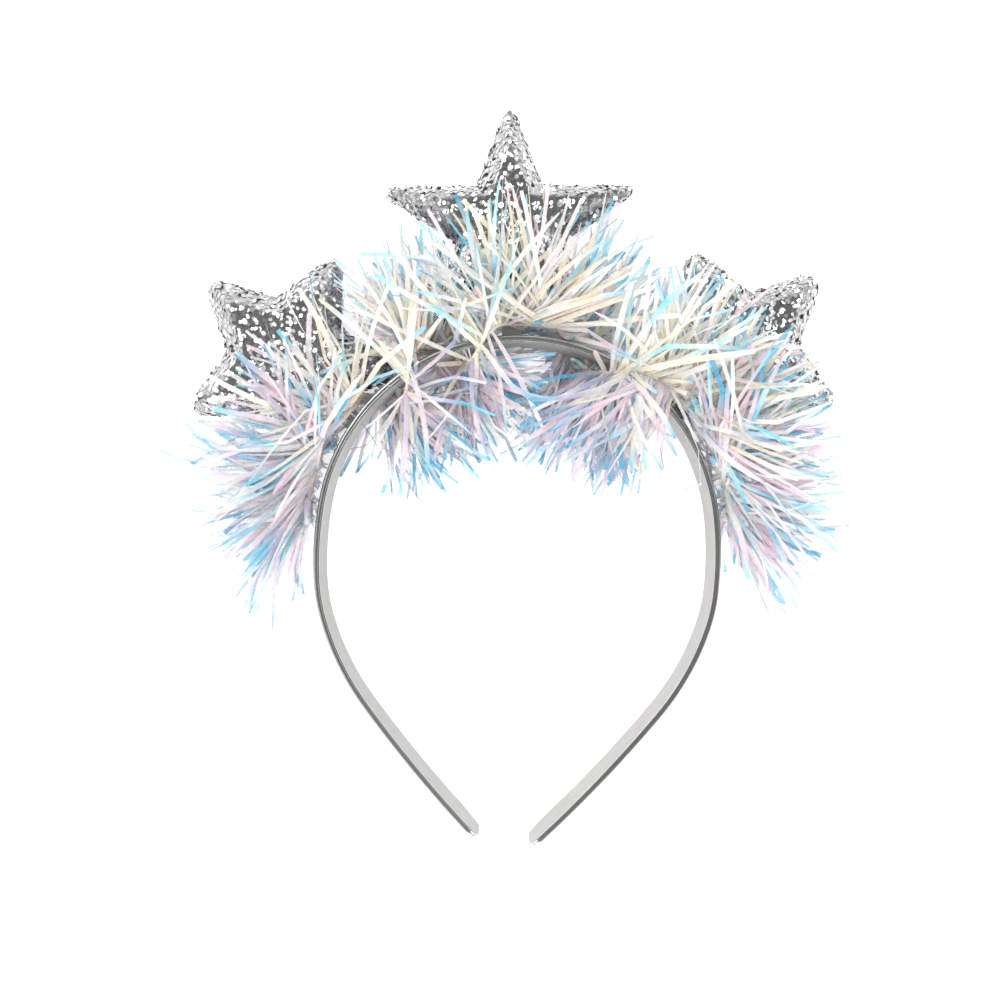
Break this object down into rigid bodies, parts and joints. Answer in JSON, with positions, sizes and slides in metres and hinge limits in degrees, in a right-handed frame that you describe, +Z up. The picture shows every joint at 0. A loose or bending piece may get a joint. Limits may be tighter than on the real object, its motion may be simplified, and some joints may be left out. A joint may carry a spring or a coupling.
{
  "type": "party headband",
  "caption": "Flexible silver headband hoop with padded glitter stars standing off its crown and a wound garland of iridescent film tinsel.",
  "frame": {"origin": "on the floor, under the middle of the bounding box of the headband lying flat", "axes": "+X to the right across the hoop, +Y from the open ends to the crown, +Z up out of the hoop's plane"},
  "size_m": [0.197, 0.223, 0.0419],
  "materials": {
    "cover": "silver metallic leatherette with a fine grain",
    "glitter": "silver chunky glitter on padded cloth",
    "film": "iridescent pearl film, cream to pink, lilac and sky blue",
    "felt": "plain grey felt"
  },
  "bodies": {
    "root": {"band": "cover", "tinsel_garland": "film", "star_centre": "glitter", "star_tab_centre": "felt", "star_left": "glitter", "star_tab_left": "felt", "star_right": "glitter", "star_tab_right": "felt"}
  },
  "joints": []
}
